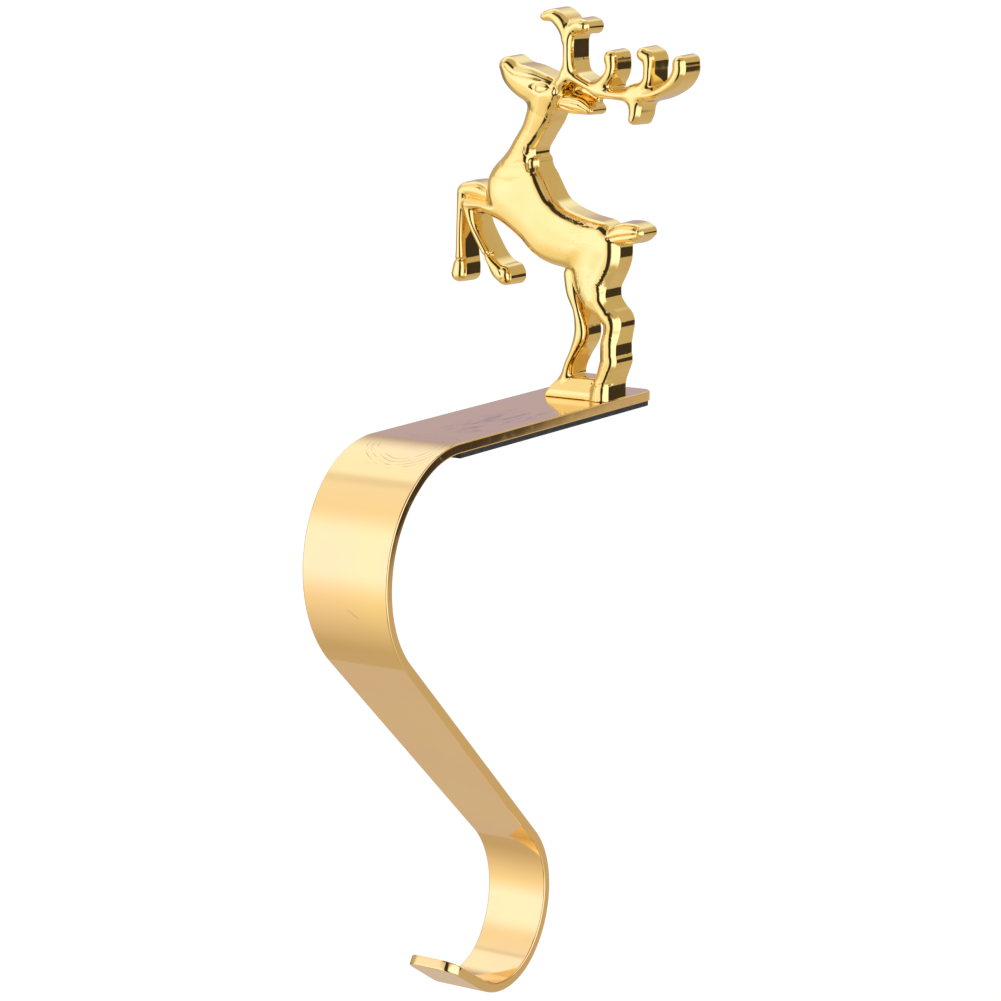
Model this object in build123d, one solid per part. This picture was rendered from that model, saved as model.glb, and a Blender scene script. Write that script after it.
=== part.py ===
"""Mantel stocking holder: a bent, tapered steel strip, a cast reindeer screwed to it and a pad below.

X runs across the strip, Y runs back over the mantel and Z is up, in millimetres.
The origin is the centre of the pad's underside, the face that lies on the mantel.
"""

import os
from math import cos, degrees, radians, sin

from build123d import *

# Strip
strip_width = 20.0
strip_thickness = 2.0
plate_length = 71.0
plate_corner = 3.0
bend_radius = 23.5
bend_angle = 136.5
run_length = 63.5
hook_back_radius = 16.0
hook_back_angle = 87.0
hook_toe_radius = 13.0
hook_toe_angle = 82.0
lip_length = 12.0
taper_lead = 15.3
tip_width = 10.8
tip_corner = 3.0

# Pad under the plate
pad_thickness = 1.0
pad_inset = 0.3

# Figure: height above the plate, straight side wall and where its flat back stands
figure_height = 76.0
drawn_height = 76.0
figure_wall = 5.4
figure_back = 24.2
base_depth = 7.6
base_height = 4.2
base_lip = 1.3
base_slope = 2.0
eye_depth = 0.5
ear_depth = 0.7

# Two countersunk screws up through the plate into the figure's base
screw_diameter = 3.0
screw_length = 5.0
head_diameter = 5.5
screw_spacing = 8.4
screw_offset = 2.2
screw_clearance = 0.2
thread_clearance = 0.05
hole_overrun = 0.4
recess_width = 0.6
recess_length = 2.6
recess_depth = 0.9

plate_under = pad_thickness
plate_top = pad_thickness + strip_thickness
grow = figure_height / drawn_height
screw_y = figure_back - base_depth / 2
head_depth = (head_diameter - screw_diameter) / 2
screw_places = [(screw_offset + side * screw_spacing / 2) * grow for side in (-1, 1)]

bend_length = bend_radius * radians(bend_angle)
back_length = hook_back_radius * radians(hook_back_angle)
toe_length = hook_toe_radius * radians(hook_toe_angle)
bent_length = bend_length + run_length + back_length + toe_length + lip_length


class StripWalk:
    """Lays the strip piece by piece along its upper face, from the plate's front end to the tip."""

    def __init__(self):
        self.place = Vector(0, -plate_length / 2, plate_top)
        self.heading = 180.0
        self.travelled = 0.0
        self.pieces = []

    def toward(self, angle):
        """Unit vector in the side view at an angle from the Y axis."""
        return Vector(0, cos(radians(angle)), sin(radians(angle)))

    def section(self):
        """Cross-section of the strip where the walk stands, narrowing evenly after the taper starts."""
        share = max(0.0, self.travelled - taper_lead) / (bent_length - taper_lead)
        width = strip_width + (tip_width - strip_width) * share
        along = self.toward(self.heading)
        under = self.toward(self.heading + 90)
        plane = Plane(self.place + under * (strip_thickness / 2), x_dir=(1, 0, 0), z_dir=along)
        return plane * Rectangle(width, strip_thickness)

    def step(self, length, turn=0.0):
        """Adds one straight or bent piece; a positive turn bends the strip down and under."""
        start = self.section()
        middle = self.heading + turn / 2
        if turn:
            radius = length / radians(abs(turn))
            chord = 2 * radius * sin(radians(abs(turn)) / 2)
            sag = radius * (1 - cos(radians(turn) / 2))
            end = self.place + self.toward(middle) * chord
            outside = self.toward(middle - 90 if turn > 0 else middle + 90)
            path = ThreePointArc(self.place, (self.place + end) / 2 + outside * sag, end)
        else:
            end = self.place + self.toward(middle) * length
            path = Line(self.place, end)
        self.place = end
        self.heading += turn
        self.travelled += length
        self.pieces.append(sweep([start, self.section()], path=path, multisection=True))


def pillars(radius, low, high):
    """Upright cylinders on both screw axes between two levels."""
    stand = (Align.CENTER, Align.CENTER, Align.MIN)
    return [Pos(x, screw_y, low) * Cylinder(radius, high - low, align=stand) for x in screw_places]


def heads(radius):
    """Screw head cones on both axes, narrowing upward from the plate's underside."""
    stand = (Align.CENTER, Align.CENTER, Align.MIN)
    cone = Cone(head_diameter / 2, radius, head_diameter / 2 - radius, align=stand)
    return [Pos(x, screw_y, plate_under) * cone for x in screw_places]


def make_strip():
    """Plate, front bend, run, hook and lip in one piece, with the countersunk holes."""
    plate = Pos(0, 0, plate_top - strip_thickness / 2) * Box(strip_width, plate_length, strip_thickness)
    plate = fillet(plate.edges().filter_by(Axis.Z).group_by(Axis.Y)[-1], plate_corner)
    lead_turn = degrees(taper_lead / bend_radius)
    walk = StripWalk()
    walk.step(taper_lead, lead_turn)
    walk.step(bend_length - taper_lead, bend_angle - lead_turn)
    walk.step(run_length)
    walk.step(back_length, -hook_back_angle)
    walk.step(toe_length, -hook_toe_angle)
    walk.step(lip_length)
    lip = walk.pieces.pop()
    uprights = lip.edges().filter_by(lambda edge: abs(edge.length / strip_thickness - 1) < 0.05)
    lip = fillet(uprights.sort_by_distance(walk.place)[:2], tip_corner)
    strip = plate + walk.pieces + lip
    hole = screw_diameter / 2 + screw_clearance
    return strip - pillars(hole, plate_under, plate_top) - heads(hole)


def make_pad():
    """Anti-slip pad covering the flat plate's underside."""
    width = strip_width - 2 * pad_inset
    length = plate_length - 2 * pad_inset
    pad = Pos(0, 0, pad_thickness / 2) * Box(width, length, pad_thickness)
    return fillet(pad.edges().filter_by(Axis.Z).group_by(Axis.Y)[-1], plate_corner - pad_inset)


def make_screws():
    """Two countersunk screws with cross recesses, heads flush with the plate's underside."""
    screws = []
    shanks = pillars(screw_diameter / 2, plate_under, plate_under + screw_length)
    for cone, shank in zip(heads(screw_diameter / 2), shanks):
        screw = cone + shank
        where = Pos(screw.center().X, screw_y, plate_under + recess_depth / 2)
        for turn in (0, 90):
            screw -= where * Rot(0, 0, turn) * Box(recess_length, recess_width, recess_depth)
        screws.append(screw)
    return Compound(children=screws)


# Limbs of the figure. Each station is x, height above the plate and half-width.
torso = [(-12.2, 40.0, 7.2), (-7.9, 35.5, 5.9), (-4.2, 32.5, 6.0), (0.8, 31.0, 5.6), (5.6, 30.3, 4.9)]
neck = [(-5.8, 59.6, 3.1), (-7.1, 55.9, 3.1), (-8.8, 52.3, 2.7), (-10.8, 48.6, 3.1), (-13.0, 41.6, 4.6)]
head = [(-4.6, 59.8, 3.0), (-9.2, 61.3, 3.5), (-12.8, 62.9, 2.75), (-14.9, 64.9, 2.0)]
near_hind_leg = [(4.6, 30.0, 5.6), (4.6, 25.8, 5.1), (4.7, 22.2, 3.85), (6.6, 19.0, 2.4), (9.5, 15.5, 1.95)]
near_hind_leg += [(9.4, 12.0, 1.4), (9.3, 9.4, 1.65), (8.1, 4.4, 1.25), (7.4, 2.0, 1.6), (7.05, 0.0, 2.25)]
far_hind_leg = [(-0.4, 24.4, 1.7), (0.8, 20.0, 1.5), (2.0, 15.6, 1.2), (2.2, 13.0, 1.55)]
far_hind_leg += [(0.8, 9.4, 1.05), (-0.4, 6.4, 1.05), (-1.2, 2.4, 1.3)]
near_arm = [(-13.5, 37.2, 3.2), (-17.5, 36.5, 1.95), (-20.5, 37.0, 1.35), (-23.6, 37.0, 1.7)]
near_fore_leg = [(-23.9, 36.8, 1.6), (-22.6, 33.0, 1.2), (-20.1, 28.4, 1.05)]
near_fore_leg += [(-18.2, 25.6, 1.15), (-16.6, 24.0, 1.65), (-15.2, 22.9, 1.85)]
far_arm = [(-16.0, 38.6, 1.7), (-19.5, 39.2, 1.5), (-22.3, 39.9, 1.7), (-24.7, 39.8, 1.6)]
far_fore_leg = [(-25.2, 39.4, 1.5), (-25.6, 35.5, 1.15), (-25.9, 30.0, 1.05)]
far_fore_leg += [(-25.95, 26.4, 1.2), (-26.1, 24.4, 1.7), (-26.3, 23.0, 1.9)]
tail = [(8.0, 31.8, 1.4), (11.0, 33.0, 2.05), (13.8, 33.4, 1.75), (15.8, 33.7, 0.85)]
ear = [(-3.2, 58.2, 1.2), (-0.5, 58.0, 1.85), (1.8, 57.7, 1.8), (4.0, 56.9, 0.8)]
front_beam = [(-0.8, 60.5, 1.9), (-0.1, 63.5, 1.75), (-0.35, 67.5, 1.2), (-0.45, 70.2, 1.3)]
front_beam += [(-1.4, 72.9, 1.45), (-3.6, 74.9, 1.3), (-5.9, 74.8, 0.85)]
front_fork = [(-0.6, 70.6, 1.1), (0.2, 72.9, 1.25), (1.9, 74.0, 1.2), (3.2, 73.7, 0.95)]
side_beam = [(-1.5, 61.6, 1.5), (2.8, 63.0, 1.35), (6.0, 62.3, 1.45), (10.0, 60.4, 1.0), (15.6, 60.3, 1.15)]
end_tine = [(13.2, 60.2, 1.05), (18.6, 60.6, 1.1), (22.9, 62.9, 1.35), (24.7, 66.9, 1.35)]
second_tine = [(6.6, 61.6, 1.3), (8.6, 63.7, 1.3), (9.3, 65.8, 1.2), (8.8, 67.7, 1.15)]
third_tine = [(14.8, 60.6, 1.3), (16.9, 63.2, 1.15), (17.7, 65.5, 1.05), (17.3, 67.6, 1.2), (16, 68.5, 0.95)]
lower_tine = [(14.6, 60.8, 1.5), (14.8, 58.5, 1.4), (14.8, 56.8, 1.2), (14.4, 55.5, 1.05)]

# Each limb with its wall above or below the common wall, and the height of its rounded front
limbs = [
    (torso, -0.4, 3.2),
    (neck, -0.2, 2.75),
    (head, -0.04, 2.5),
    (near_hind_leg, -0.3, 2.65),
    (far_hind_leg, -0.6, 1.7),
    (near_arm, -0.15, 2.2),
    (near_fore_leg, 0.0, 2.0),
    (far_arm, -0.7, 1.9),
    (far_fore_leg, -0.54, 1.8),
    (tail, -0.8, 1.9),
    (ear, -0.5, 1.7),
    (front_beam, -0.1, 1.9),
    (front_fork, -0.28, 1.8),
    (side_beam, -0.22, 1.9),
    (end_tine, -0.3, 1.84),
    (second_tine, -0.35, 1.75),
    (third_tine, -0.45, 1.8),
    (lower_tine, -0.4, 1.72),
]
broad_angles = [0, 34, 68]
slim_angles = [0, 36, 68]
broad_from = 2.6

# Almond eye and inner ear: stations, level of the surface above the common wall, depth sunk into it
eye = [(-8.9, 60.7, 0.35), (-7.2, 61.0, 1.05), (-5.5, 61.0, 0.35)]
inner_ear = [(-1.8, 58.1, 0.5), (-0.4, 58.0, 1.05), (1.7, 57.7, 1.0), (3.1, 57.2, 0.4)]
sunk = [(eye, 2.3, eye_depth), (inner_ear, 1.1, ear_depth)]


def ring(stations, share, height):
    """Flat face round a limb at a height above the back, drawn in to a share of its half-widths."""
    left = []
    right = []
    headings = []
    for before, here, after in zip([stations[0], *stations], stations, [*stations[1:], stations[-1]]):
        along = Vector(after[0] - before[0], after[1] - before[1]).normalized()
        centre = Vector(here[0] * grow, here[1] * grow, height)
        aside = Vector(-along.Y, along.X) * (here[2] * share * grow)
        left.append(centre + aside)
        right.append(centre - aside)
        headings.append(along)
    first = (left[0] + right[0]) / 2 - headings[0] * (stations[0][2] * share * grow)
    last = (left[-1] + right[-1]) / 2 + headings[-1] * (stations[-1][2] * share * grow)
    ends = [headings[0], headings[-1]]
    sides = [
        Edge.make_spline(left, tangents=ends),
        Edge.make_three_point_arc(left[-1], last, right[-1]),
        Edge.make_spline(right, tangents=ends),
        Edge.make_three_point_arc(right[0], first, left[0]),
    ]
    return Face(Wire(sides))


def make_limb(stations, wall, crown):
    """One limb: a straight wall from the flat back, then a rounded front stepped in along an ellipse."""
    broad = max(half for x, z, half in stations) > broad_from
    rings = [ring(stations, 1.0, 0.0)]
    for angle in broad_angles if broad else slim_angles:
        rings.append(ring(stations, cos(radians(angle)), wall + crown * sin(radians(angle))))
    return loft(rings, ruled=True)


def make_base():
    """Foot of the figure, with a low front edge under a sloped face."""
    top = base_height / grow
    corners = [(-4.9, 0.0), (-4.6, 1.0), (-3.5, 2.5), (-2.2, top), (7.4, top), (8.6, 2.6), (9.2, 0.0)]
    foot = extrude(make_face(Polyline(*[Vector(x, z) * grow for x, z in corners], close=True)), base_depth)
    back = base_depth - base_slope
    front = base_depth + 1
    over = base_height + 1
    slope = [(base_lip, base_depth), (base_height, back), (over, back), (over, front), (base_lip, front)]
    side = Plane((-20 * grow, 0, 0), x_dir=(0, 1, 0), z_dir=(1, 0, 0))
    return foot - extrude(make_face(side * Polyline(*slope, close=True)), 40 * grow)


def make_figure():
    """Rearing reindeer cast in one piece with its foot, and tapped from below."""
    figure = make_base()
    for stations, extra, crown in limbs:
        figure += make_limb(stations, figure_wall + extra, crown)
    for stations, extra, depth in sunk:
        level = figure_wall + extra
        figure -= loft([ring(stations, 1.0, level - depth), ring(stations, 1.0, level + 1)], ruled=True)
    figure -= Pos(0, -10, 0) * Box(80 * grow, 20, 40)
    figure = Plane((0, figure_back, plate_top), x_dir=(1, 0, 0), z_dir=(0, -1, 0)) * figure
    thread = screw_diameter / 2 + thread_clearance
    return figure - pillars(thread, plate_top - 1, plate_under + screw_length + hole_overrun)


parts = {
    "hook_strip": make_strip(),
    "anti_slip_pad": make_pad(),
    "fixing_screws": make_screws(),
    "reindeer_figure": make_figure(),
}
os.makedirs("parts", exist_ok=True)
for name, part in parts.items():
    export_step(part, f"parts/{name}.step")
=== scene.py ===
"""Looks of a mantel stocking holder: plated hook strip, cast reindeer, anti-slip pad and studio."""

import logging
import math
from dataclasses import dataclass, field
from enum import Enum
from functools import cached_property, partial
from typing import Mapping, Optional, Union

import bmesh
import bpy
import numpy as np
import openvdb
from mathutils import Matrix, Vector


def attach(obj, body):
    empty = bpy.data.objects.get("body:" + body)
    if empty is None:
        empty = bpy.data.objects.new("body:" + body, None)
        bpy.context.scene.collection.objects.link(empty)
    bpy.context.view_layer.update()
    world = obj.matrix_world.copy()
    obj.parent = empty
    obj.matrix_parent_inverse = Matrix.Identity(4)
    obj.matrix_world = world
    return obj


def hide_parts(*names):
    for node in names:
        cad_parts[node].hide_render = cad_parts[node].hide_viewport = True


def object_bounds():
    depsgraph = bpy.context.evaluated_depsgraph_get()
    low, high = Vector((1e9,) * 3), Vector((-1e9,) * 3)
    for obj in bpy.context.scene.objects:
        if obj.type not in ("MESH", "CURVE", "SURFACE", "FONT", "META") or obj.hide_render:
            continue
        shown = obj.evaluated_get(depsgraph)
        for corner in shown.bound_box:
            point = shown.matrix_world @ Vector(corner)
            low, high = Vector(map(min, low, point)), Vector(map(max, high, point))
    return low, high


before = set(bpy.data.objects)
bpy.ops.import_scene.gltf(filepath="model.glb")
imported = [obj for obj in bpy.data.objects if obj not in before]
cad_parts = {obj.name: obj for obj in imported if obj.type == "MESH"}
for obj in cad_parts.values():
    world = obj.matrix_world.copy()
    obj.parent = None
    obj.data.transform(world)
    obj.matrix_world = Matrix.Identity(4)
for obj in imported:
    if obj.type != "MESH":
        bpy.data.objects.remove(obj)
CAD_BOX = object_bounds()

LOG = logging.getLogger("stocking_holder")
MM = 0.001
BODY = "root"
FAR = 1e3
TINY = 1e-9
NO_LENGTH = 1e-12
WELD = 1e-7
FLAT_WEIGHT = 100
HALF_TURN = 180.0
QUARTER = math.pi / 2

Colour = tuple[float, float, float]
Station = tuple[float, float, float]
Point = tuple[float, float, float]
Steps = tuple[float, float, float]
Pair = tuple[float, float]


class Slot(Enum):
    """Names for material slots of the pieces that are made here; no piece is given one."""

    STRIP = "strip"
    FIGURE = "figure"
    PAD = "pad"


class Ray(Enum):
    """Kinds of ray that see the backdrop itself rather than its light."""

    CAMERA = "Is Camera Ray"
    GLOSSY = "Is Glossy Ray"
    TRANSMISSION = "Is Transmission Ray"


class Socket:
    """An output socket whose operators add Math nodes to its graph."""

    def __init__(self, graph: "Graph", socket: bpy.types.NodeSocket) -> None:
        """Keeps the graph and the Blender socket.

        Args:
            graph: Graph that the socket's node belongs to.
            socket: Output socket to wrap.
        """
        self.graph = graph
        self.socket = socket

    def other(self, name: str) -> "Socket":
        """Another output of the same node, by name."""
        return Socket(self.graph, self.socket.node.outputs[name])

    def __add__(self, value: "Value") -> "Socket":
        """Sum."""
        return self.graph.math("ADD", self, value)

    def __radd__(self, value: "Value") -> "Socket":
        """Sum with a number on the left."""
        return self.graph.math("ADD", value, self)

    def __sub__(self, value: "Value") -> "Socket":
        """Difference."""
        return self.graph.math("SUBTRACT", self, value)

    def __rsub__(self, value: "Value") -> "Socket":
        """Difference with a number on the left."""
        return self.graph.math("SUBTRACT", value, self)

    def __mul__(self, value: "Value") -> "Socket":
        """Product."""
        return self.graph.math("MULTIPLY", self, value)

    def __rmul__(self, value: "Value") -> "Socket":
        """Product with a number on the left."""
        return self.graph.math("MULTIPLY", value, self)

    def __truediv__(self, value: "Value") -> "Socket":
        """Quotient."""
        return self.graph.math("DIVIDE", self, value)

    def __rtruediv__(self, value: "Value") -> "Socket":
        """Quotient with a number on the left."""
        return self.graph.math("DIVIDE", value, self)


Value = Union[Socket, float, int, tuple, bpy.types.Material]


class Graph:
    """A node tree, for shaders or geometry, with one way to add a node."""

    def __init__(self, tree: bpy.types.NodeTree) -> None:
        """Wraps a tree.

        Args:
            tree: Tree to add nodes to.
        """
        self.tree = tree

    def node(self, kind: str, settings: Optional[Mapping[str, object]] = None,
             values: Optional[Mapping[Union[str, int], Value]] = None) -> Socket:
        """Adds one node.

        Args:
            kind: Blender's type name.
            settings: Properties, set before the sockets; "captures" names captured fields.
            values: Numbers, colours or sockets, by an input's index, identifier or name.

        Returns:
            The node's first enabled output, or its first input's placeholder for an output node.
        """
        node = self.tree.nodes.new(kind)
        for name, value in (settings or {}).items():
            if name == "captures":
                for data, label in value:
                    node.capture_items.new(data, label)
            else:
                setattr(node, name, value)
        for key, value in (values or {}).items():
            self.feed(self._input(node, key), value)
        outputs = [socket for socket in node.outputs if socket.enabled]
        return Socket(self, outputs[0] if outputs else node.inputs[0])

    @staticmethod
    def _input(node: bpy.types.Node, key: Union[str, int]) -> bpy.types.NodeSocket:
        """Finds an input of a node.

        Args:
            node: Node to look at.
            key: Index among the enabled inputs, or an identifier or name.

        Returns:
            The input's socket.
        """
        enabled = [socket for socket in node.inputs if socket.enabled]
        if isinstance(key, int):
            return enabled[key]
        return next(socket for socket in enabled if key in (socket.identifier, socket.name))

    def feed(self, target: bpy.types.NodeSocket, value: Value) -> None:
        """Links a socket or sets its value.

        Args:
            target: Input socket.
            value: Socket to link, or number, colour or material to set.
        """
        if isinstance(value, Socket):
            self.tree.links.new(value.socket, target)
        elif target.type == "RGBA" and len(value) == 3:
            target.default_value = (*value, 1.0)
        else:
            target.default_value = value

    def math(self, operation: str, *values: Value) -> Socket:
        """Math node on up to three values."""
        return self.node("ShaderNodeMath", {"operation": operation}, dict(enumerate(values)))

    def vector(self, operation: str, *values: Value) -> Socket:
        """Vector Math node on up to three vectors, or on a vector and a number to scale it by."""
        return self.node("ShaderNodeVectorMath", {"operation": operation}, dict(enumerate(values)))

    def ramp(self, value: Value, low: Value, high: Value, smooth: bool = False,
             start: float = 0.0, end: float = 1.0) -> Socket:
        """Clamped ramp from start to end as a value goes from low to high.

        Args:
            value: Input value.
            low: Value at which the ramp starts.
            high: Value at which it ends.
            smooth: Eased rather than straight.
            start: Result at low.
            end: Result at high.

        Returns:
            The ramp's socket.
        """
        settings = {"interpolation_type": "SMOOTHSTEP" if smooth else "LINEAR", "clamp": True}
        return self.node("ShaderNodeMapRange", settings, {0: value, 1: low, 2: high, 3: start, 4: end})

    def mix(self, factor: Value, first: Value, second: Value) -> Socket:
        """Mix of two colours."""
        values = {"Factor_Float": factor, "A_Color": first, "B_Color": second}
        return self.node("ShaderNodeMix", {"data_type": "RGBA"}, values)

    def band(self, value: Socket, low: float, high: float, soft: float) -> Socket:
        """1 between two values and 0 outside, with soft edges.

        Args:
            value: Input value.
            low: Middle of the lower edge.
            high: Middle of the upper edge.
            soft: Half the width of each edge.

        Returns:
            The band's socket.
        """
        rise = self.ramp(value, low - soft, low + soft, smooth=True)
        fall = self.ramp(value, high - soft, high + soft, smooth=True)
        return rise * (1.0 - fall)


@dataclass(frozen=True)
class Cloud:
    """Noise with some cells to the millimetre, and the values between which it is eased from 0 to 1."""

    cells: float
    detail: float
    low: float = 0.35
    high: float = 0.65
    roughness: float = 0.5

    def plain(self, graph: Graph, place: Socket) -> Socket:
        """The noise as it is."""
        values = {"Vector": place, "Scale": self.cells, "Detail": self.detail, "Roughness": self.roughness}
        return graph.node("ShaderNodeTexNoise", None, values)

    def eased(self, graph: Graph, place: Socket) -> Socket:
        """The noise eased from 0 to 1."""
        return graph.ramp(self.plain(graph, place), self.low, self.high, smooth=True)


class Finish:
    """A surface finish that builds its own material."""

    @staticmethod
    def material(name: str) -> tuple[bpy.types.Material, Graph, bpy.types.Node]:
        """New node material.

        Args:
            name: Material's name.

        Returns:
            The material, its graph and its Principled shader.
        """
        made = bpy.data.materials.new(name)
        made.use_nodes = True
        return made, Graph(made.node_tree), made.node_tree.nodes["Principled BSDF"]

    @staticmethod
    def place(graph: Graph) -> Socket:
        """Object coordinates in millimetres."""
        here = graph.node("ShaderNodeTexCoord").other("Object")
        return graph.vector("MULTIPLY", here, (1 / MM,) * 3)

    @staticmethod
    def bump(graph: Graph, height: Value, depth: float) -> Socket:
        """Bump of a height from 0 to 1 over a depth in millimetres."""
        values = {"Strength": 1.0, "Distance": depth * MM, "Height": height}
        return graph.node("ShaderNodeBump", None, values)


@dataclass(frozen=True)
class CastGold(Finish):
    """Mirror-bright yellow plating over a zinc casting."""

    colour: Colour = (0.95, 0.72, 0.29)
    warm: Colour = (0.93, 0.68, 0.25)
    drift: Cloud = Cloud(0.09, 2.0)
    roughness: float = 0.045
    haze: float = 0.05
    haze_cloud: Cloud = Cloud(0.5, 4.0, 0.45, 0.8)
    ripple: float = 0.004
    ripple_cloud: Cloud = Cloud(0.35, 1.0)

    def build(self) -> bpy.types.Material:
        """Makes plating with a slow colour drift, faint haze and the casting's slight ripple.

        Returns:
            The material.
        """
        made, graph, shader = self.material("cast_gold")
        place = self.place(graph)
        drift = self.drift.eased(graph, place)
        haze = self.haze_cloud.eased(graph, place)
        ripple = self.ripple_cloud.plain(graph, place)
        graph.feed(shader.inputs["Base Color"], graph.mix(drift, self.colour, self.warm))
        graph.feed(shader.inputs["Roughness"], self.roughness + self.haze * haze)
        graph.feed(shader.inputs["Normal"], self.bump(graph, ripple, self.ripple))
        shader.inputs["Metallic"].default_value = 1.0
        return made


@dataclass(frozen=True)
class StripGold(Finish):
    """Gold plating on polished steel strip, with a buffing swirl, smudges and a scratch."""

    colour: Colour = (0.95, 0.68, 0.30)
    rose: Colour = (0.93, 0.65, 0.32)
    soot: Colour = (0.30, 0.20, 0.14)
    smoke: Colour = (0.46, 0.34, 0.26)
    drift: Cloud = Cloud(0.05, 2.0)
    roughness: float = 0.06
    haze: float = 0.07
    haze_cloud: Cloud = Cloud(0.3, 5.0, 0.45, 0.8)
    ripple: float = 0.008
    ripple_cloud: Cloud = Cloud(0.18, 1.0)
    swirl_centre: Point = (2.0, -39.5, 2.5)
    swirl_reach: Pair = (5.0, 9.3)
    swirl_soft: float = 0.4
    swirl_pitch: float = 1.05
    swirl_line: Pair = (0.03, 0.13)
    swirl_wander: float = 2.4
    wander_cloud: Cloud = Cloud(0.12, 1.0)
    swirl_gaps: Cloud = Cloud(0.30, 4.0, 0.42, 0.60)
    smudge_reach: Pair = (-25.0, 2.0)
    smudge_reach_soft: float = 4.0
    smudge_side: Pair = (-1.5, 7.0)
    smudge_side_soft: float = 2.5
    smudge_stretch: Point = (1.0, 0.35, 1.0)
    smudge_cloud: Cloud = Cloud(0.55, 5.0, 0.44, 0.66)
    plate_face: Pair = (2.8, 2.9)
    scratch_start: Point = (0.3, -58.6, -25.1)
    scratch_end: Point = (2.5, -58.2, -26.7)
    scratch_line: Pair = (0.03, 0.10)
    smudge_tint: float = 0.85
    line_tint: float = 0.62
    smudge_haze: float = 0.12
    line_haze: float = 0.2

    def swirl(self, graph: Graph, place: Socket) -> Socket:
        """Broken arcs that a buffing wheel left where the plate starts to bend.

        Args:
            graph: Material's graph.
            place: Place in millimetres.

        Returns:
            How dark the arcs are, from 0 to 1.
        """
        away = graph.vector("DISTANCE", place, self.swirl_centre)
        wander = self.wander_cloud.plain(graph, place) * self.swirl_wander
        turn = graph.math("FRACT", (away + wander) / self.swirl_pitch)
        line = graph.ramp(graph.math("ABSOLUTE", turn - 0.5), *self.swirl_line, start=1.0, end=0.0)
        broken = self.swirl_gaps.eased(graph, place)
        return line * broken * graph.band(away, *self.swirl_reach, self.swirl_soft)

    def smudge(self, graph: Graph, place: Socket) -> Socket:
        """Smoky streaks along the plate.

        Args:
            graph: Material's graph.
            place: Place in millimetres.

        Returns:
            How strong the streaks are, from 0 to 1.
        """
        parts = graph.node("ShaderNodeSeparateXYZ", None, {0: place})
        streaks = self.smudge_cloud.eased(graph, graph.vector("MULTIPLY", place, self.smudge_stretch))
        within = graph.band(parts.other("Y"), *self.smudge_reach, self.smudge_reach_soft)
        within = within * graph.band(parts, *self.smudge_side, self.smudge_side_soft)
        return streaks * within * graph.ramp(parts.other("Z"), *self.plate_face)

    def scratched(self, graph: Graph, place: Socket) -> Socket:
        """Short scratch on the bend.

        Args:
            graph: Material's graph.
            place: Place in millimetres.

        Returns:
            1 on the scratch, 0 off it.
        """
        start, end = Vector(self.scratch_start), Vector(self.scratch_end)
        along = (end - start).normalized()
        offset = graph.vector("SUBTRACT", place, tuple(start))
        share = graph.vector("DOT_PRODUCT", offset, tuple(along)).other("Value")
        share = graph.math("MINIMUM", graph.math("MAXIMUM", share, 0.0), (end - start).length)
        foot = graph.vector("SCALE", tuple(along), share)
        away = graph.vector("DISTANCE", offset, foot).other("Value")
        return graph.ramp(away, *self.scratch_line, start=1.0, end=0.0)

    def build(self) -> bpy.types.Material:
        """Makes plating with a slow drift in colour, polishing haze, slight ripple and marks.

        Returns:
            The material.
        """
        made, graph, shader = self.material("strip_gold")
        place = self.place(graph)
        drift = self.drift.eased(graph, place)
        haze = self.haze_cloud.eased(graph, place)
        ripple = self.ripple_cloud.plain(graph, place)
        smudge = self.smudge(graph, place)
        lines = graph.math("MAXIMUM", self.swirl(graph, place), self.scratched(graph, place))
        colour = graph.mix(drift, self.colour, self.rose)
        colour = graph.mix(smudge * self.smudge_tint, colour, self.smoke)
        roughness = self.roughness + self.haze * haze
        roughness = roughness + self.smudge_haze * smudge + self.line_haze * lines
        graph.feed(shader.inputs["Base Color"], graph.mix(lines * self.line_tint, colour, self.soot))
        graph.feed(shader.inputs["Roughness"], roughness)
        graph.feed(shader.inputs["Normal"], self.bump(graph, ripple, self.ripple))
        shader.inputs["Metallic"].default_value = 1.0
        return made


@dataclass(frozen=True)
class PadRubber(Finish):
    """Matt black foam rubber with a fine grain."""

    colour: Colour = (0.012, 0.012, 0.013)
    grey: Colour = (0.035, 0.035, 0.037)
    roughness: float = 0.62
    unevenness: float = 0.2
    grain: float = 0.05
    grain_cloud: Cloud = Cloud(3.0, 3.0)
    blotches: Cloud = Cloud(0.4, 2.0, 0.3, 0.7)

    def build(self) -> bpy.types.Material:
        """Makes rubber with a grain in colour, roughness and height.

        Returns:
            The material.
        """
        made, graph, shader = self.material("pad_rubber")
        place = self.place(graph)
        grain = self.grain_cloud.plain(graph, place)
        blotch = self.blotches.eased(graph, place)
        graph.feed(shader.inputs["Base Color"], graph.mix(grain * blotch, self.colour, self.grey))
        graph.feed(shader.inputs["Roughness"], self.roughness + self.unevenness * grain)
        graph.feed(shader.inputs["Normal"], self.bump(graph, grain, self.grain))
        return made


@dataclass(frozen=True)
class ScrewZinc(Finish):
    """Bright zinc on small steel screws."""

    colour: Colour = (0.62, 0.63, 0.65)
    dull: Colour = (0.45, 0.46, 0.48)
    roughness: float = 0.28
    unevenness: float = 0.2
    cloud: Cloud = Cloud(1.5, 3.0)

    def build(self) -> bpy.types.Material:
        """Makes uneven zinc.

        Returns:
            The material.
        """
        made, graph, shader = self.material("screw_zinc")
        cloud = self.cloud.plain(graph, self.place(graph))
        graph.feed(shader.inputs["Base Color"], graph.mix(cloud, self.colour, self.dull))
        graph.feed(shader.inputs["Roughness"], self.roughness + self.unevenness * cloud)
        shader.inputs["Metallic"].default_value = 1.0
        return made


def new_object(name: str, mesh: bpy.types.Mesh) -> bpy.types.Object:
    """Links a mesh to the scene as an object at the origin.

    Args:
        name: Object's name.
        mesh: Its mesh.

    Returns:
        The object.
    """
    made = bpy.data.objects.new(name, mesh)
    bpy.context.scene.collection.objects.link(made)
    return made


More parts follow.
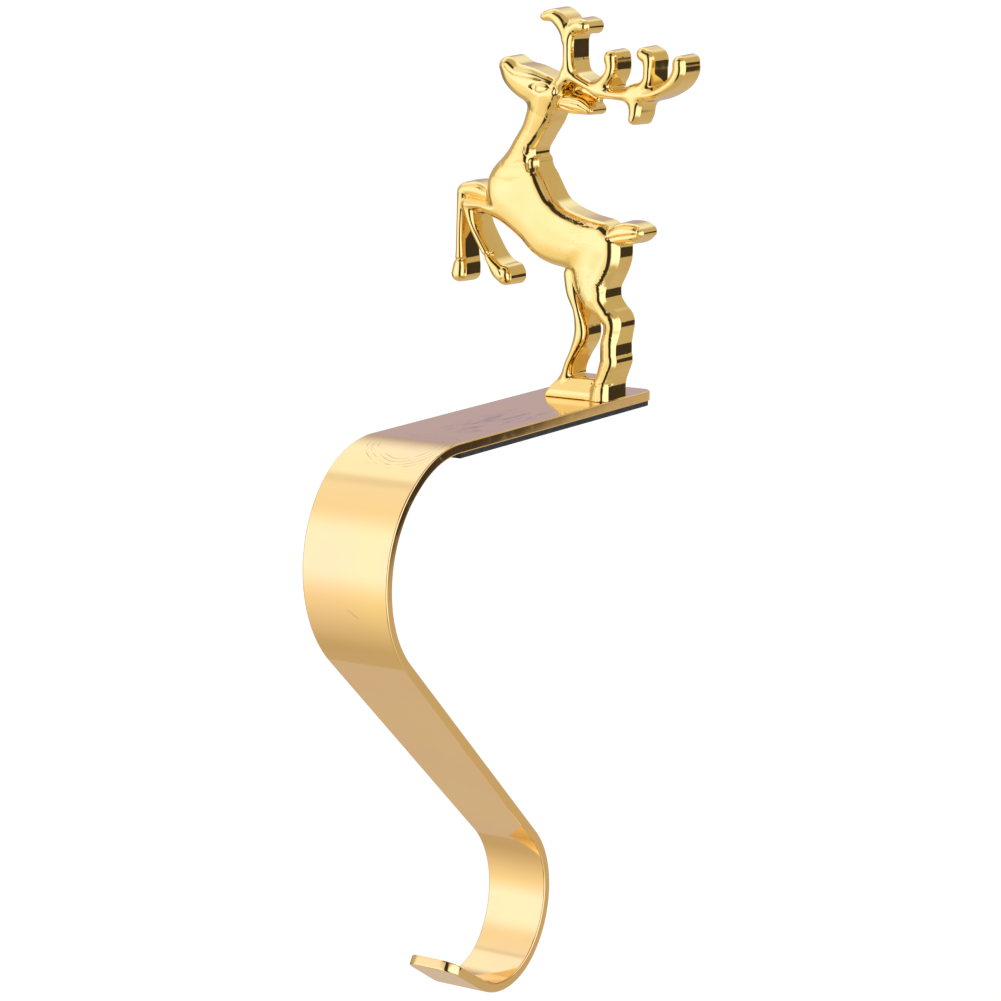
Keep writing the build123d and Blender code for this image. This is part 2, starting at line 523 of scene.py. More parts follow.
def mesh_of(name: str, shape: bmesh.types.BMesh) -> bpy.types.Mesh:
    """Turns an edited shape into a mesh and frees it.

    Args:
        name: Mesh's name.
        shape: Shape to turn.

    Returns:
        The mesh.
    """
    mesh = bpy.data.meshes.new(name)
    shape.to_mesh(mesh)
    shape.free()
    return mesh


def freeze(piece: bpy.types.Object) -> None:
    """Turns a piece's evaluated shape into its own plain mesh and removes its modifiers.

    Args:
        piece: Object to freeze.
    """
    graph = bpy.context.evaluated_depsgraph_get()
    graph.update()
    shown = piece.evaluated_get(graph)
    mesh = bpy.data.meshes.new_from_object(shown, preserve_all_data_layers=True, depsgraph=graph)
    piece.modifiers.clear()
    piece.data = mesh


def ride(piece: bpy.types.Object, node: str) -> None:
    """Puts a finished piece in the place of its CAD node.

    Args:
        piece: Finished object.
        node: CAD node that it stands for.
    """
    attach(piece, BODY)
    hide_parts(node)
    LOG.info("%s stands for %s, %d faces", piece.name, node, len(piece.data.polygons))


@dataclass
class HookStrip:
    """Bent, tapered strip: plate, front bend, run, hook and lip, laid by its heading."""

    width: float = 20.0
    thickness: float = 2.0
    plate_length: float = 71.0
    plate_corner: float = 3.0
    plate_top: float = 3.0
    bend_radius: float = 23.5
    bend_angle: float = 136.5
    run_length: float = 63.5
    back_radius: float = 16.0
    back_angle: float = 87.0
    toe_radius: float = 13.0
    toe_angle: float = 82.0
    lip_length: float = 12.0
    taper_lead: float = 15.3
    tip_width: float = 10.8
    tip_corner: float = 3.0
    edge_radius: float = 0.3
    edge_points: int = 4
    corner_rows: int = 22
    rows: int = 620
    hole_radius: float = 1.7
    head_radius: float = 2.75
    hole_places: tuple[float, ...] = (-2.0, 6.4)
    hole_y: float = 20.4
    hole_steps: int = 48
    cut_past: float = 1.0
    finish: StripGold = field(default_factory=StripGold)

    def stages(self) -> list[tuple[float, float]]:
        """Bend, run, back of the hook, toe and lip, one after another.

        Returns:
            Length along the outer face and turn of each.
        """
        bend = self.bend_radius * math.radians(self.bend_angle)
        back = self.back_radius * math.radians(self.back_angle)
        toe = self.toe_radius * math.radians(self.toe_angle)
        return [(bend, self.bend_angle), (self.run_length, 0.0), (back, -self.back_angle),
                (toe, -self.toe_angle), (self.lip_length, 0.0)]

    def inputs(self) -> dict[str, float]:
        """Sizes that the node tree takes.

        Returns:
            Metres or radians, by the name of the tree's input.
        """
        lengths = {"Width": self.width, "Thickness": self.thickness, "Plate length": self.plate_length,
                   "Plate corner": self.plate_corner, "Plate top": self.plate_top,
                   "Taper lead": self.taper_lead, "Tip width": self.tip_width,
                   "Tip corner": self.tip_corner, "Edge radius": self.edge_radius}
        sizes = {name: length * MM for name, length in lengths.items()}
        for name, (length, turn) in zip(("Bend", "Run", "Back", "Toe", "Lip"), self.stages()):
            sizes[f"{name} length"] = length * MM
            if turn:
                sizes[f"{name} turn"] = math.radians(turn)
        return sizes

    def tree(self, material: bpy.types.Material) -> bpy.types.NodeTree:
        """Node tree that lays the strip along its heading and rounds its ends and edges.

        Args:
            material: Strip's material.

        Returns:
            The tree, with one named input for each size.
        """
        tree = bpy.data.node_groups.new("hook_strip_rule", "GeometryNodeTree")
        tree.interface.new_socket("Geometry", in_out="INPUT", socket_type="NodeSocketGeometry")
        for name in self.inputs():
            tree.interface.new_socket(name, in_out="INPUT", socket_type="NodeSocketFloat")
        tree.interface.new_socket("Geometry", in_out="OUTPUT", socket_type="NodeSocketGeometry")
        graph = Graph(tree)
        entry = graph.node("NodeGroupInput")
        size = {name: entry.other(name) for name in self.inputs()}
        total = size["Plate length"] + size["Bend length"] + size["Run length"] + size["Back length"]
        total = total + size["Toe length"] + size["Lip length"]
        last = self.rows - 1

        def place_of(row: Socket) -> Socket:
            """Distance along the strip of a row, with rows drawn together at the rounded ends.

            Args:
                row: Row's number.

            Returns:
                The distance from the plate's back edge.
            """
            first = graph.ramp(row, 0, self.corner_rows) * QUARTER
            middle = graph.ramp(row, self.corner_rows, last - self.corner_rows)
            final = graph.ramp(row, last - self.corner_rows, last) * QUARTER
            straight = total - size["Plate corner"] - size["Tip corner"]
            near = size["Plate corner"] * (1.0 - graph.math("COSINE", first))
            return near + straight * middle + size["Tip corner"] * graph.math("SINE", final)

        def heading_of(place: Socket) -> Socket:
            """Heading at a distance along the strip.

            Args:
                place: Distance from the plate's back edge.

            Returns:
                The heading in the side view, from the Y axis.
            """
            heading: Value = math.pi
            start = size["Plate length"]
            for name in ("Bend", "Run", "Back", "Toe"):
                end = start + size[f"{name} length"]
                if f"{name} turn" in size:
                    heading = heading + graph.ramp(place, start, end) * size[f"{name} turn"]
                start = end
            return heading

        def toward(angle: Socket) -> Socket:
            """Unit vector in the side view."""
            values = {"Y": graph.math("COSINE", angle), "Z": graph.math("SINE", angle)}
            return graph.node("ShaderNodeCombineXYZ", None, values)

        def rounding(depth: Socket, radius: Value) -> Socket:
            """How far a round of a radius draws in at a depth below its top."""
            left = graph.math("MAXIMUM", radius - depth, 0.0)
            return radius - graph.math("SQRT", graph.math("MAXIMUM", radius * radius - left * left, 0.0))

        row = graph.node("GeometryNodeInputIndex")
        here = place_of(row)
        after = place_of(row + 1.0)
        step = graph.vector("SCALE", toward(heading_of((here + after) * 0.5)), after - here)
        walked = graph.node("GeometryNodeAccumulateField", {"data_type": "FLOAT_VECTOR"}, {0: step})
        plate_end = {"Y": size["Plate length"] * 0.5, "Z": size["Plate top"]}
        begin = graph.node("ShaderNodeCombineXYZ", None, plate_end)
        spine = graph.vector("ADD", begin, walked.other("Trailing"))
        narrow = graph.ramp(here, size["Plate length"] + size["Taper lead"], total)
        drawn_in = narrow * (size["Width"] - size["Tip width"]) * 0.5
        drawn_in = drawn_in + rounding(here, size["Plate corner"])
        drawn_in = drawn_in + rounding(total - here, size["Tip corner"])
        thinned = rounding(here, size["Edge radius"]) + rounding(total - here, size["Edge radius"])

        line = graph.node("GeometryNodeMeshLine", None, {"Count": self.rows})
        captures = [("VECTOR", "spine"), ("FLOAT", "heading"), ("FLOAT", "drawn_in"), ("FLOAT", "thinned")]
        kept = graph.node("GeometryNodeCaptureAttribute", {"captures": captures},
                          {"Geometry": line, "spine": spine, "heading": heading_of(here),
                           "drawn_in": drawn_in, "thinned": thinned})
        path = graph.node("GeometryNodeMeshToCurve", None, {"Mesh": kept})
        frame_values = {"Width": size["Width"], "Height": size["Thickness"]}
        profile = graph.node("GeometryNodeCurvePrimitiveQuadrilateral", None, frame_values)
        profile = graph.node("GeometryNodeFilletCurve", {"mode": "POLY"},
                             {"Curve": profile, "Count": self.edge_points, "Radius": size["Edge radius"]})
        section = graph.node("GeometryNodeCaptureAttribute", {"captures": [("VECTOR", "section")]},
                             {"Geometry": profile, "section": graph.node("GeometryNodeInputPosition")})
        skin = graph.node("GeometryNodeCurveToMesh", None,
                          {"Curve": path, "Profile Curve": section, "Fill Caps": True})
        across = graph.node("ShaderNodeSeparateXYZ", None, {0: section.other("section")})
        upward = across.other("Y")
        across = across - graph.math("SIGN", across) * kept.other("drawn_in")
        upward = upward - graph.math("SIGN", upward) * kept.other("thinned")
        under = toward(kept.other("heading") + QUARTER)
        sunk = graph.vector("SCALE", under, size["Thickness"] * 0.5 - upward)
        aside = graph.node("ShaderNodeCombineXYZ", None, {"X": across})
        target = graph.vector("ADD", graph.vector("ADD", kept.other("spine"), sunk), aside)
        skin = graph.node("GeometryNodeSetPosition", None, {"Geometry": skin, "Position": target})
        skin = graph.node("GeometryNodeSetShadeSmooth", None, {"Geometry": skin, "Shade Smooth": True})
        skin = graph.node("GeometryNodeRealizeInstances", None, {"Geometry": skin})
        skin = graph.node("GeometryNodeSetMaterial", None, {"Geometry": skin, "Material": material})
        graph.node("NodeGroupOutput", None, {"Geometry": skin})
        return tree

    def cutter(self) -> bpy.types.Object:
        """Makes both countersunk screw holes.

        Returns:
            The holes as one object to cut with.
        """
        under = self.plate_top - self.thickness
        lead = self.head_radius - self.hole_radius
        bottom, top = under - self.cut_past, self.plate_top + self.cut_past
        outline = [(0.0, bottom), (self.head_radius + self.cut_past, bottom),
                   (self.hole_radius, under + lead), (self.hole_radius, top), (0.0, top)]
        shape = bmesh.new()
        for x in self.hole_places:
            corners = [shape.verts.new(Vector((x + r, self.hole_y, z)) * MM) for r, z in outline]
            edges = [shape.edges.new(pair) for pair in zip(corners, corners[1:])]
            bmesh.ops.spin(shape, geom=corners + edges, cent=Vector((x, self.hole_y, 0)) * MM,
                           axis=(0, 0, 1), angle=2 * math.pi, steps=self.hole_steps, use_merge=True)
        bmesh.ops.remove_doubles(shape, verts=shape.verts, dist=WELD)
        bmesh.ops.recalc_face_normals(shape, faces=shape.faces)
        return new_object("hole_cutter", mesh_of("hole_cutter", shape))

    def build(self) -> bpy.types.Object:
        """Makes the strip and puts it in its node's place.

        Returns:
            The finished strip.
        """
        material = self.finish.build()
        strip = new_object("plated_strip", bpy.data.meshes.new("plated_strip"))
        rule = strip.modifiers.new("rule", "NODES")
        rule.node_group = self.tree(material)
        sockets = {item.name: item.identifier for item in rule.node_group.interface.items_tree
                   if item.in_out == "INPUT"}
        for name, value in self.inputs().items():
            rule[sockets[name]] = value
        cutter = self.cutter()
        holes = strip.modifiers.new("holes", "BOOLEAN")
        holes.operation = "DIFFERENCE"
        holes.solver = "EXACT"
        holes.object = cutter
        flats = strip.modifiers.new("flats", "WEIGHTED_NORMAL")
        flats.weight = FLAT_WEIGHT
        freeze(strip)
        bpy.data.objects.remove(cutter)
        ride(strip, "hook_strip")
        return strip


@dataclass(frozen=True)
class Limb:
    """One limb of the casting, along stations of x, height above the plate and half-width.

    Its walls stand on the flat back with a slight draft. Its front edge is rounded over a radius in plan
    and a crown in height, and the middle is domed above that. Wall, crown and radius are spread evenly over
    the stations. The dome is full at a span from the outline, or at the spine where no span is given.
    Partners are limbs that flow into it: they are blended in plan, so that one smooth front covers them all.
    """

    stations: tuple[Station, ...]
    wall: tuple[float, ...]
    crown: tuple[float, ...]
    blend: float
    radius: tuple[float, ...]
    dome: float = 0.0
    partners: tuple["Limb", ...] = ()
    span: float = 0.0
    draft: float = 2.0
    reach: float = 4.0
    per_span: int = 20

    @cached_property
    def spine(self) -> np.ndarray:
        """Stations joined by a smooth curve.

        Returns:
            Rows of x, height and half-width.
        """
        points = np.array(self.stations, float)
        ends = np.vstack([2 * points[0] - points[1], points, 2 * points[-1] - points[-2]])
        share = np.linspace(0.0, 1.0, self.per_span, endpoint=False)[:, None]
        rows = []
        for a, b, c, d in zip(ends, ends[1:], ends[2:], ends[3:]):
            rows.append(0.5 * (2 * b + (c - a) * share + (2 * a - 5 * b + 4 * c - d) * share ** 2
                               + (3 * b - a - 3 * c + d) * share ** 3))
        return np.vstack([*rows, points[-1:]])

    @cached_property
    def box(self) -> tuple[np.ndarray, np.ndarray]:
        """Lowest and highest x and height of the limb and its partners."""
        rows = np.vstack([limb.spine for limb in (self, *self.partners)])
        return (rows[:, :2] - rows[:, 2:]).min(0), (rows[:, :2] + rows[:, 2:]).max(0)

    def near(self, x: np.ndarray, z: np.ndarray) -> np.ndarray:
        """Which places the limb or a partner can touch.

        Args:
            x: Places across the strip.
            z: Heights above the plate.

        Returns:
            True for each place within reach.
        """
        low, high = self.box[0] - self.reach, self.box[1] + self.reach
        return (x > low[0]) & (x < high[0]) & (z > low[1]) & (z < high[1])

    def outline(self, x: np.ndarray, z: np.ndarray) -> tuple[np.ndarray, np.ndarray]:
        """The limb by itself, in plan.

        Args:
            x: Places across the strip.
            z: Heights above the plate.

        Returns:
            Distance outside the outline, and rows of wall, crown, radius, span and dome, for each place.
        """
        edge = np.full(x.shape, FAR)
        half = np.ones(x.shape)
        along = np.zeros(x.shape)
        count = len(self.spine) - 1
        for number, (start, end) in enumerate(zip(self.spine, self.spine[1:])):
            step = end[:2] - start[:2]
            share = ((x - start[0]) * step[0] + (z - start[1]) * step[1]) / max(step @ step, TINY)
            share = np.clip(share, 0.0, 1.0)
            width = start[2] + share * (end[2] - start[2])
            reach = np.hypot(x - start[0] - share * step[0], z - start[1] - share * step[1]) - width
            nearer = reach < edge
            edge = np.where(nearer, reach, edge)
            half = np.where(nearer, width, half)
            along = np.where(nearer, (number + share) / count, along)
        rows = (row if len(row) > 1 else row * 2 for row in (self.wall, self.crown, self.radius))
        wall, crown, radius = (np.interp(along, np.linspace(0, 1, len(row)), row) for row in rows)
        span = np.full(x.shape, self.span) if self.span else half
        return edge, np.stack([wall, crown, np.minimum(radius, half), span, np.full(x.shape, self.dome)])

    def plan(self, x: np.ndarray, z: np.ndarray) -> tuple[np.ndarray, np.ndarray]:
        """The limb with its partners blended in, as outline gives it.

        Args:
            x: Places across the strip.
            z: Heights above the plate.

        Returns:
            Distance outside the outline, and rows of wall, crown, radius, span and dome, for each place.
        """
        edge, form = self.outline(x, z)
        for partner in self.partners:
            near = partner.near(x, z)
            other, shape = partner.outline(x[near], z[near])
            share = np.clip(0.5 + (edge[near] - other) / (2 * partner.blend), 0.0, 1.0)
            form[:, near] += share * share * (3 - 2 * share) * (shape - form[:, near])
            edge[near] = join(edge[near], other, partner.blend)
        return edge, form

    def field(self, x: np.ndarray, z: np.ndarray, h: np.ndarray) -> np.ndarray:
        """Distance-like field of the limb, negative inside.

        Args:
            x: Places across the strip.
            z: Heights above the plate.
            h: Distances forward of the flat back, in a row for each place or one row for all.

        Returns:
            A row of values for each place.
        """
        edge, form = self.plan(x, z)
        wall, crown, radius, span, dome = form[..., None]
        middle = np.clip(-edge[..., None] / span, 0.0, 1.0)
        top = wall + dome * middle * (2.0 - middle)
        rise = np.maximum(h - top, 0.0) / crown
        across = np.maximum(1.0 + edge[..., None] / radius, 0.0)
        swell = (np.maximum(wall - h, 0.0) - wall / 2) * math.tan(math.radians(self.draft))
        return radius * (np.sqrt(across ** 2 + rise ** 2) - 1.0) - swell


@dataclass(frozen=True)
class Mark:
    """Line or pit tooled into the front along a path of x and height; a negative depth raises it."""

    path: tuple[Pair, ...]
    width: float
    depth: float
    front: float = 4.8
    ease: float = 0.7

    def field(self, x: np.ndarray, z: np.ndarray, h: np.ndarray) -> np.ndarray:
        """How far the mark draws the surface in.

        Args:
            x: Places across the strip.
            z: Heights above the plate.
            h: Distances forward of the flat back, in a row for each place or one row for all.

        Returns:
            A row of offsets for each place.
        """
        away = np.full(x.shape, FAR)
        for (x0, z0), (x1, z1) in zip(self.path, self.path[1:] or self.path):
            step = (x1 - x0, z1 - z0)
            length = max(step[0] ** 2 + step[1] ** 2, TINY)
            share = np.clip(((x - x0) * step[0] + (z - z0) * step[1]) / length, 0.0, 1.0)
            away = np.minimum(away, np.hypot(x - x0 - share * step[0], z - z0 - share * step[1]))
        dip = self.depth * np.exp(-(away / self.width) ** 2)
        return dip[..., None] * np.clip((h - self.front) / self.ease, 0.0, 1.0)


def join(a: np.ndarray, b: np.ndarray, blend: float) -> np.ndarray:
    """Union of two fields with a rounded inner corner."""
    near = np.maximum(blend - np.abs(a - b), 0.0) / blend
    return np.minimum(a, b) - near ** 3 * blend / 6.0


def meet(a: np.ndarray, b: np.ndarray, blend: float) -> np.ndarray:
    """Intersection of two fields with a rounded outer corner."""
    return -join(-a, -b, blend)


@dataclass
class ReindeerFigure:
    """Rearing reindeer cast in one piece with its foot: flat back, straight walls and a rounded front."""

    back: float = 24.2
    plate_top: float = 3.0
    pitch: float = 0.25
    margin: float = 0.9
    base_depth: float = 7.6
    base_lip: float = 1.3
    base_height: float = 4.2
    base_slope: float = 2.0
    base_blend: float = 0.9
    base_corner: float = 0.6
    base_edge: float = 0.5
    back_round: float = 0.35
    under_round: float = 0.15
    body_span: float = 5.0
    body_dome: float = 1.2
    rear_levels: Steps = (-0.6, 0.7, 0.2)
    wall_levels: Steps = (1.0, 4.0, 0.6)
    front_levels: Steps = (4.2, 8.9, 0.2)
    lowest: float = -1.05
    outside: float = 10.0
    settle_rounds: int = 2
    settle_share: float = 0.5
    settle_limit: float = 0.2
    least_slope: float = 0.2
    finish: CastGold = field(default_factory=CastGold)

    def trunk(self) -> Limb:
        """Body with what flows into it: neck, head, rump, near hind leg and near arm.

        Returns:
            The body, with the others as its partners.
        """
        flowing = partial(Limb, dome=self.body_dome, span=self.body_span)
        neck = flowing(((-5.8, 59.6, 3.1), (-7.1, 55.9, 3.1), (-8.9, 52.3, 2.65), (-11.0, 48.5, 2.85),
                        (-13.0, 41.6, 4.6)),
                       (5.1, 4.9, 4.8, 4.9, 5.0), (1.5, 1.2, 1.3, 1.6, 2.0), 3.0, (1.7, 1.5, 1.5, 1.8, 2.2))
        head = flowing(((-4.6, 59.8, 3.0), (-9.2, 61.3, 3.5), (-12.8, 62.9, 2.75), (-14.6, 64.9, 1.9)),
                       (5.1,), (1.6,), 2.5, (1.8,))
        thigh = flowing(((5.0, 29.5, 5.3), (4.9, 26.6, 4.8), (4.6, 24.2, 3.9), (4.7, 22.0, 3.0),
                         (5.6, 20.0, 2.4)),
                        (4.5, 4.5, 5.0, 5.6, 5.8), (1.8, 1.8, 1.6, 1.3, 1.2), 2.5, (2.2, 2.2, 2.0, 1.5, 1.4))
        shin = flowing(((8.6, 30.6, 2.4), (8.6, 28.2, 2.4), (8.0, 26.5, 2.4), (7.0, 24.3, 2.25),
                        (6.5, 22.7, 2.1), (6.5, 21.4, 2.1), (6.55, 20.1, 2.05), (7.1, 18.9, 2.0),
                        (8.5, 17.15, 2.0), (9.7, 15.6, 2.1), (9.6, 13.5, 1.93), (9.32, 11.5, 1.87),
                        (9.32, 10.2, 1.87), (9.32, 8.9, 1.88), (9.4, 7.8, 1.97), (8.9, 6.1, 1.85),
                        (8.3, 4.3, 1.79), (7.9, 2.8, 1.95), (7.68, 0, 2.2)),
                       (4.5, 4.5, 4.6, 5.1, 5.7, 5.8, 5.8, 5.6, 5.3, 4.9,
                        5.0, 5.7, 5.9, 5.9, 5.9, 6.0, 6.1, 6.3, 6.4),
                       (1.8, 1.8, 1.7, 1.5, 1.3, 1.2, 1.2, 1.3, 1.5, 1.7,
                        1.5, 1.1, 1.0, 1.0, 1.0, 1.0, 1.0, 1.1, 1.2), 2.2,
                       (2.2, 2.2, 2.0, 1.7, 1.5, 1.4, 1.4, 1.5, 1.7, 1.9,
                        1.7, 1.3, 1.2, 1.2, 1.2, 1.2, 1.2, 1.3, 1.4))
        rump = flowing(((5.2, 33.3, 1.8), (6.7, 33.5, 1.65)), (4.6,), (1.7,), 1.0, (1.6,))
        nape = flowing(((-9.7, 49.2, 1.5), (-9.7, 48.1, 1.5)), (4.8,), (1.2,), 0.5, (1.4,))
        tuft = flowing(((-8.75, 46.2, 1.42), (-8.7, 44.7, 1.5)), (4.8,), (1.4,), 0.5, (1.4,))
        near_arm = flowing(((-13.5, 37.2, 3.2), (-17.5, 36.5, 1.95), (-20.5, 37, 1.35), (-23.6, 37, 1.7)),
                           (5.1, 5.3), (1.8, 1.5), 1.8, (2.2, 1.6))
        return flowing(((-12.2, 40, 7.2), (-7.9, 35.5, 5.9), (-4.2, 32.5, 6.0), (0.8, 31, 5.6),
                        (5.6, 30.3, 4.9)),
                       (5.0, 5.0, 5.0, 4.8, 4.5), (2.0, 2.0, 2.0, 2.0, 1.8), 1.0, (2.3, 2.2),
                       partners=(neck, head, rump, nape, tuft, thigh, shin, near_arm))

    @staticmethod
    def legs() -> list[Limb]:
        """Legs that stand clear of the body.

        Returns:
            Far hind leg, near fore leg, and far arm with its leg.
        """
        slim = partial(Limb, radius=(1.6,), dome=0.2)
        far_hind_leg = Limb(((0.1, 24.5, 1.8), (0.6, 21, 1.7), (1.75, 17.6, 1.3), (2.4, 14.5, 1.55),
                             (2.3, 12, 1.65), (1.0, 9, 1.25), (-0.2, 6.5, 1.2), (-0.9, 4.0, 1.4),
                             (-1.2, 2.4, 1.5)),
                            (4.6,), (1.5,), 0.5, (1.5,), 0.3)
        near_toe = slim(((-15.4, 23.9, 1.4), (-15.1, 22.6, 1.45)), (5.2,), (1.3,), 0.6, radius=(1.4,))
        near_fore_leg = slim(((-23.7, 36.8, 1.65), (-22.5, 33, 1.1), (-20.2, 28.9, 1.02), (-18.4, 26.1, 1.1),
                              (-16.8, 24.1, 1.6), (-15.4, 23.1, 1.75)),
                             (5.4,), (1.7, 1.4, 1.5), 0.6, partners=(near_toe,))
        far_fore_leg = slim(((-25.2, 39.4, 1.5), (-25.6, 35.5, 1.15), (-25.9, 30, 1.05), (-25.95, 26.4, 1.2),
                             (-26.1, 24.4, 1.6), (-26.3, 22.8, 1.8)), (4.86,), (1.6, 1.4, 1.7), 0.6)
        far_arm = slim(((-16, 38.6, 1.7), (-19.5, 39.2, 1.5), (-22.3, 39.9, 1.7), (-24.7, 39.8, 1.6)),
                       (4.7,), (1.7, 1.6), 0.4, partners=(far_fore_leg,))
        return [far_hind_leg, near_fore_leg, far_arm]

    @staticmethod
    def antlers() -> Limb:
        """Antlers, with the side beam and tines flowing into the front one.

        Returns:
            The front antler, with the others as its partners.
        """
        tine = partial(Limb, crown=(1.6, 1.5), radius=(1.6,), dome=0.2)
        front_fork = tine(((-0.6, 70.6, 1.1), (0.3, 72.4, 1.4), (1.7, 73.2, 1.55), (2.85, 73.1, 1.45)),
                          (5.12,), blend=1.3)
        side_beam = tine(((-0.8, 64.0, 1.2), (1.2, 63.1, 1.1), (3.2, 62.2, 1.05), (4.8, 61.5, 1.1),
                          (6.4, 60.9, 1.4), (8.2, 60.5, 1.2), (10, 60.25, 1.05), (14.6, 60.2, 1.25),
                          (19, 60.8, 1.2), (22.7, 62.8, 1.4), (24.3, 65.0, 1.55), (24.45, 66.9, 1.5)),
                         (5.18,), crown=(1.7, 1.6), blend=2.0)
        second_tine = tine(((6.6, 61.6, 1.4), (8.5, 63.5, 1.4), (9.25, 65.3, 1.35), (9.0, 67.3, 1.55)),
                           (5.05,), blend=2.0)
        third_tine = tine(((14.8, 60.6, 1.4), (17.2, 62.9, 1.3), (17.6, 65.3, 1.25), (17.4, 67.4, 1.5),
                           (16.2, 68.3, 1.4)), (4.95,), blend=2.0)
        lower_tine = tine(((14.3, 60.6, 1.8), (14.6, 58.6, 1.55), (14.6, 56.9, 1.4), (14.3, 55.7, 1.2)),
                          (5.0,), blend=2.2)
        return tine(((-3.0, 60.1, 1.3), (-2.1, 61.9, 1.4), (-0.5, 64.0, 1.5), (-0.3, 67.3, 1.25),
                     (-0.45, 70.2, 1.3), (-1.45, 73.0, 1.55), (-3.6, 75.0, 1.45), (-5.7, 74.9, 1.05)),
                    (5.3,), crown=(1.8, 1.6), blend=0.9, radius=(1.7,),
                    partners=(front_fork, side_beam, second_tine, third_tine, lower_tine))

    @cached_property
    def limbs(self) -> list[Limb]:
        """All limbs; the web closes the slot between ear and antler at the back.

        Returns:
            The limbs with their partners, in the order in which they are joined.
        """
        tail = Limb(((8, 31.8, 1.4), (11, 33, 2.2), (13.8, 33.4, 2.05), (15.5, 33.6, 1.2)),
                    (4.6,), (1.6, 1.4), 0.5, (1.8,), 0.4)
        ear = Limb(((-3.2, 58.2, 1.2), (-0.9, 58.1, 1.95), (0.8, 57.9, 1.9), (2.4, 57.6, 1.65),
                    (4.0, 56.95, 1.0)),
                   (4.7,), (1.5, 1.2), 0.4, (1.6,), 0.3)
        web = Limb(((-1.6, 60.6, 1.1), (0.6, 60.7, 1.5), (2.6, 60.0, 1.3), (3.5, 59.2, 0.9)),
                   (1.5,), (0.5,), 0.9, (0.8,))
        return [self.trunk(), *self.legs(), tail, ear, self.antlers(), web]

    def marks(self) -> list[Mark]:
        """Tooled lines, folds and pits of the front."""
        return [
            Mark(((-14.6, 45.7), (-11.5, 45.7), (-8.3, 46.5)), 0.60, 0.17),
            Mark(((-16.4, 42.5), (-12.9, 42.1), (-9.3, 42.9)), 1.0, 0.22),
            Mark(((-8.0, 61.2), (-7.0, 61.8), (-5.8, 61.95), (-4.5, 61.6), (-3.6, 61.05), (-4.5, 60.25),
                  (-5.8, 59.95), (-7.0, 60.35), (-8.0, 61.2)), 0.30, 0.20, 6.0),
            Mark(((-7.7, 61.15), (-7.1, 61.1)), 0.45, 0.30, 6.0),
            Mark(((-6.0, 60.95), (-4.9, 60.95)), 0.70, -0.14, 6.0),
            Mark(((-2.65, 61.2), (-2.45, 60.7), (-2.6, 60.2)), 0.42, 0.32, 5.0),
            Mark(((-2.4, 58.9), (-2.7, 57.8), (-3.2, 56.6)), 0.50, 0.36, 5.0),
            Mark(((-1.6, 58.5), (0.4, 58.5), (2.1, 58.15), (4.2, 57.0)), 0.30, 0.28),
            Mark(((-1.7, 57.6), (0.5, 57.0), (3.3, 56.5)), 0.28, 0.25),
            Mark(((-14.2, 65.1), (-13.1, 64.2), (-12.0, 63.6), (-7.4, 62.9), (-3.8, 61.9)), 0.35, 0.14),
            Mark(((9.5, 32.2), (11.5, 32.7), (13.8, 33.1), (15.3, 33.4)), 0.35, 0.30),
            Mark(((-19.6, 27.0), (-17.6, 27.6)), 0.30, 0.30),
            Mark(((-27.6, 25.6), (-24.4, 25.8)), 0.30, 0.25),
            Mark(((6.0, 3.2), (9.8, 3.4)), 0.35, 0.18),
        ]

    def levels(self) -> np.ndarray:
        """Distances from the back at which the field is sampled, coarser on the walls."""
        runs = (self.rear_levels, self.wall_levels, self.front_levels)
        return np.concatenate([np.arange(*run) for run in runs])

    def foot(self, x: np.ndarray, z: np.ndarray, h: np.ndarray) -> np.ndarray:
        """Field of the foot, with a low front edge under a sloped face.

        Args:
            x: Places across the strip.
            z: Heights above the plate.
            h: Distances forward of the flat back.

        Returns:
            A row of values for each place.
        """
        corners = [(-4.9, -2.0), (-4.6, 1.0), (-3.5, 2.5), (-2.2, self.base_height),
                   (7.4, self.base_height), (8.6, 2.6), (9.2, -2.0)]
        outline = np.full(x.shape, -FAR)
        for (x0, z0), (x1, z1) in zip(corners, corners[1:]):
            length = math.hypot(x1 - x0, z1 - z0)
            side = ((x - x0) * -(z1 - z0) + (z - z0) * (x1 - x0)) / length
            outline = meet(outline, side, self.base_corner)
        slope = math.hypot(self.base_height - self.base_lip, self.base_slope)
        face = ((h - self.base_depth) * (self.base_height - self.base_lip)
                + (z[..., None] - self.base_lip) * self.base_slope) / slope
        front = meet(face, h - self.base_depth + 0.0 * face, self.base_edge)
        return meet(outline[..., None], front, self.base_blend)

    def field(self, x: np.ndarray, z: np.ndarray, h: np.ndarray) -> np.ndarray:
        """Field of the whole casting, negative inside.

        Args:
            x: Places across the strip.
            z: Heights above the plate.
            h: Distances forward of the flat back, in a row for each place or one row for all.

        Returns:
            A row of values for each place.
        """
        form = np.full((len(x), h.shape[-1]), self.outside)
        for limb in self.limbs:
            near = limb.near(x, z)
            rows = h if h.ndim == 1 else h[near]
            form[near] = join(form[near], limb.field(x[near], z[near], rows), limb.blend)
        form = join(form, self.foot(x, z, h), self.base_blend)
        for mark in self.marks():
            form += mark.field(x, z, h)
        form = meet(form, -h + 0.0 * form, self.back_round)
        return meet(form, -z[:, None] + 0.0 * form, self.under_round)

